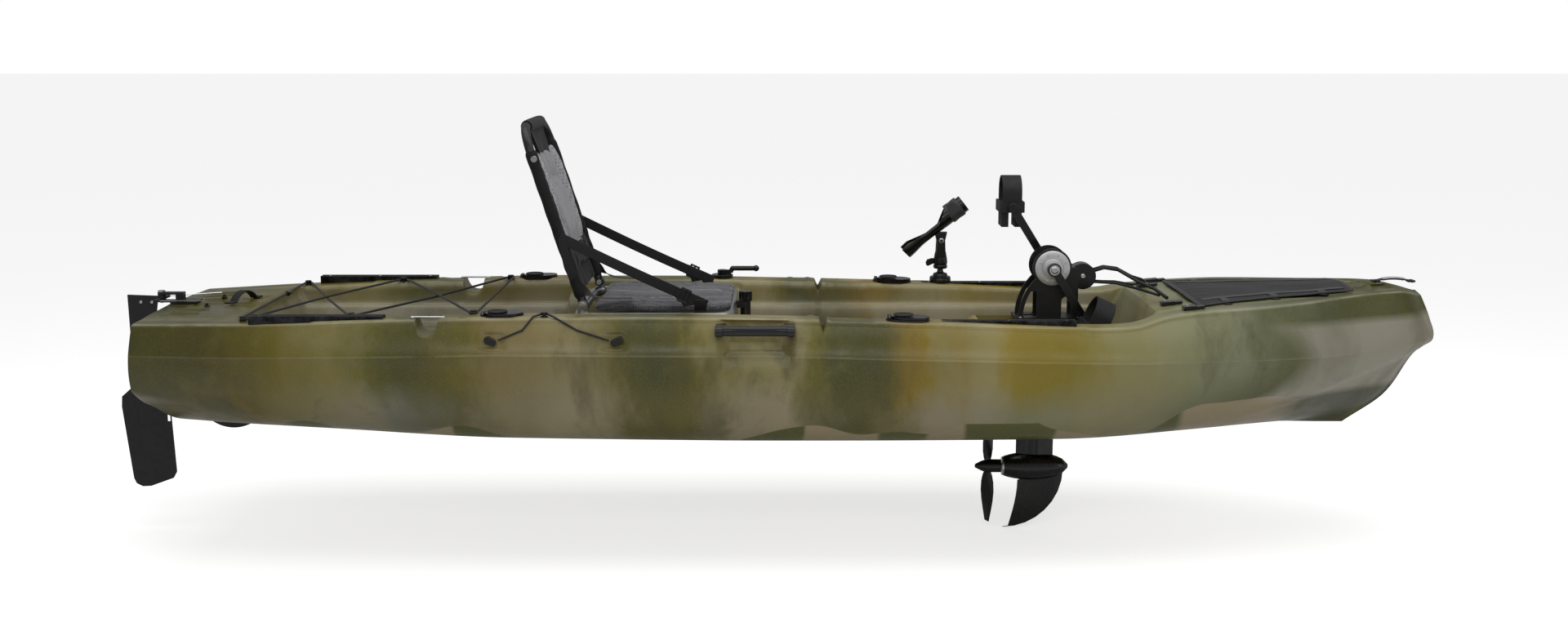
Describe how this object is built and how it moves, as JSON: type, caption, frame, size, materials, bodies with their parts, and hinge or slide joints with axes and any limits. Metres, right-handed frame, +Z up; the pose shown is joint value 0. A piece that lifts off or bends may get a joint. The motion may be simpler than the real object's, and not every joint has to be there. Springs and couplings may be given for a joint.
{
  "type": "pedal fishing kayak",
  "caption": "Sit-on-top fishing kayak with a pedal propeller drive, framed seat, stern rudder with a steering lever, and flush and clamp-on rod holders.",
  "frame": {"origin": "on the keel amidships, at the lowest line of the hull", "axes": "+X towards the bow, +Y to port, +Z up"},
  "size_m": [3.343, 0.8106, 1.0603],
  "materials": {
    "hull_plastic": "mottled rotomoulded polyethylene",
    "black_plastic": "satin moulded nylon",
    "black_rubber": "matt",
    "black_webbing": "woven webbing",
    "cover_fabric": "woven coated cloth",
    "grey_mesh": "spacer mesh",
    "bungee_cord": "braided sleeve",
    "stainless": "brushed",
    "steel_gear": "machined",
    "seat_tube": "brushed",
    "black_tube": "powder coated",
    "black_aluminium": "anodised black",
    "machined_aluminium": "turned"
  },
  "bodies": {
    "root": {"hull": "hull_plastic", "keel_shoe": "black_plastic", "hatch_cover": "cover_fabric", "deck_buckles": "black_plastic", "side_grips": "black_rubber", "bow_handle": "black_webbing", "stern_handle": "black_webbing", "rear_rails": "black_plastic", "gear_tracks": "black_aluminium", "rod_tubes": "black_plastic", "cap_pins": "stainless", "pad_eyes": "black_plastic", "tank_bungee": "bungee_cord", "side_bungee": "bungee_cord", "bungee_clips": "black_plastic", "notch_bars": "stainless", "seat_base_frame": "seat_tube", "seat_pad": "grey_mesh", "side_strap_left": "black_webbing", "side_strap_right": "black_webbing", "strap_buckles": "black_plastic", "seat_hinge_pins": "stainless", "seat_clamp_post": "black_plastic", "drive_stand": "black_plastic", "drive_housing": "black_plastic", "side_discs": "machined_aluminium", "disc_screws": "stainless", "axle_bearings": "steel_gear", "bulb_ring": "stainless", "stay_hub": "black_plastic", "stay_bars": "black_plastic", "rudder_bracket": "black_plastic", "rudder_hinge_pin": "stainless", "steering_wires": "stainless", "lever_base": "black_plastic", "rod_holder_base": "black_plastic"},
    "crank": {"crank_axle": "stainless", "crank_gear": "steel_gear", "crank_left": "black_aluminium", "crank_right": "black_aluminium"},
    "pedal_l": {"pedal_left": "black_plastic", "pedal_strap_left": "black_webbing"},
    "pedal_r": {"pedal_right": "black_plastic", "pedal_strap_right": "black_webbing"},
    "vertical_shaft": {"drive_shaft": "stainless"},
    "prop": {"propeller": "black_plastic", "prop_shaft": "stainless"},
    "rudder": {"rudder_plate": "black_aluminium"},
    "lever": {"lever_arm": "black_plastic"},
    "seat_back": {"seat_back_frame": "black_tube", "back_pad": "grey_mesh", "head_strap": "black_webbing"},
    "clamp_knob": {"seat_clamp_knob": "black_plastic"},
    "holder_arm": {"rod_holder_arm": "black_plastic"},
    "holder_cradle": {"rod_holder_cradle": "black_plastic", "rod_holder_strap": "black_rubber"},
    "cap_rear_left": {"rod_cap_rear_left": "black_plastic"},
    "cap_rear_right": {"rod_cap_rear_right": "black_plastic"},
    "cap_front_left": {"rod_cap_front_left": "black_plastic"},
    "cap_front_right": {"rod_cap_front_right": "black_plastic"}
  },
  "joints": [
    {"name": "crank_spin", "type": "hinge", "parent": "root", "child": "crank", "pos_m": [0.639, 0, 0.405], "axis": [0, 1, 0], "continuous": true},
    {"name": "pedal_left_spin", "type": "hinge", "parent": "crank", "child": "pedal_l", "pos_m": [0.55156, 0.134, 0.54493], "axis": [0, 1, 0], "continuous": true},
    {"name": "pedal_right_spin", "type": "hinge", "parent": "crank", "child": "pedal_r", "pos_m": [0.72644, -0.134, 0.26507], "axis": [0, 1, 0], "continuous": true},
    {"name": "vertical_shaft_spin", "type": "hinge", "parent": "root", "child": "vertical_shaft", "pos_m": [0.639, 0, 0.15], "axis": [0, 0, 1], "continuous": true},
    {"name": "prop_spin", "type": "hinge", "parent": "root", "child": "prop", "pos_m": [0.5, 0, -0.118], "axis": [1, 0, 0], "continuous": true},
    {"name": "rudder_yaw", "type": "hinge", "parent": "root", "child": "rudder", "pos_m": [-1.625, 0, 0.32], "axis": [0, 0, 1], "range_deg": [-40, 40]},
    {"name": "lever_swing", "type": "hinge", "parent": "root", "child": "lever", "pos_m": [-0.206, 0.31352, 0.3419], "axis": [0, 0, 1], "range_deg": [-40, 40]},
    {"name": "back_fold", "type": "hinge", "parent": "root", "child": "seat_back", "pos_m": [-0.528, 0, 0.337], "axis": [0, 1, 0], "range_deg": [0, 88]},
    {"name": "clamp_knob_turn", "type": "hinge", "parent": "root", "child": "clamp_knob", "pos_m": [-0.136, 0, 0.33], "axis": [0, 0, 1], "range_deg": [0, 180]},
    {"name": "holder_swivel", "type": "hinge", "parent": "root", "child": "holder_arm", "pos_m": [0.388, 0.31461, 0.37879], "axis": [0, 0, 1], "range_deg": [-120, 120]},
    {"name": "holder_tilt", "type": "hinge", "parent": "holder_arm", "child": "holder_cradle", "pos_m": [0.388, 0.31461, 0.43279], "axis": [0, 1, 0], "range_deg": [-25, 35]},
    {"name": "cap_rear_left_lift", "type": "hinge", "parent": "root", "child": "cap_rear_left", "pos_m": [-0.75131, 0.31632, 0.33647], "axis": [0, -1, 0], "range_deg": [0, 105]},
    {"name": "cap_rear_right_lift", "type": "hinge", "parent": "root", "child": "cap_rear_right", "pos_m": [-0.75131, -0.31632, 0.33647], "axis": [0, -1, 0], "range_deg": [0, 105]},
    {"name": "cap_front_left_lift", "type": "hinge", "parent": "root", "child": "cap_front_left", "pos_m": [0.21225, 0.31489, 0.32865], "axis": [0, -1, 0], "range_deg": [0, 105]},
    {"name": "cap_front_right_lift", "type": "hinge", "parent": "root", "child": "cap_front_right", "pos_m": [0.21225, -0.31489, 0.32865], "axis": [0, -1, 0], "range_deg": [0, 105]}
  ],
  "couplings": [
    {"joint": "vertical_shaft_spin", "follows": "crank_spin", "ratio": -4},
    {"joint": "prop_spin", "follows": "crank_spin", "ratio": 8},
    {"joint": "lever_swing", "follows": "rudder_yaw", "ratio": -1}
  ]
}
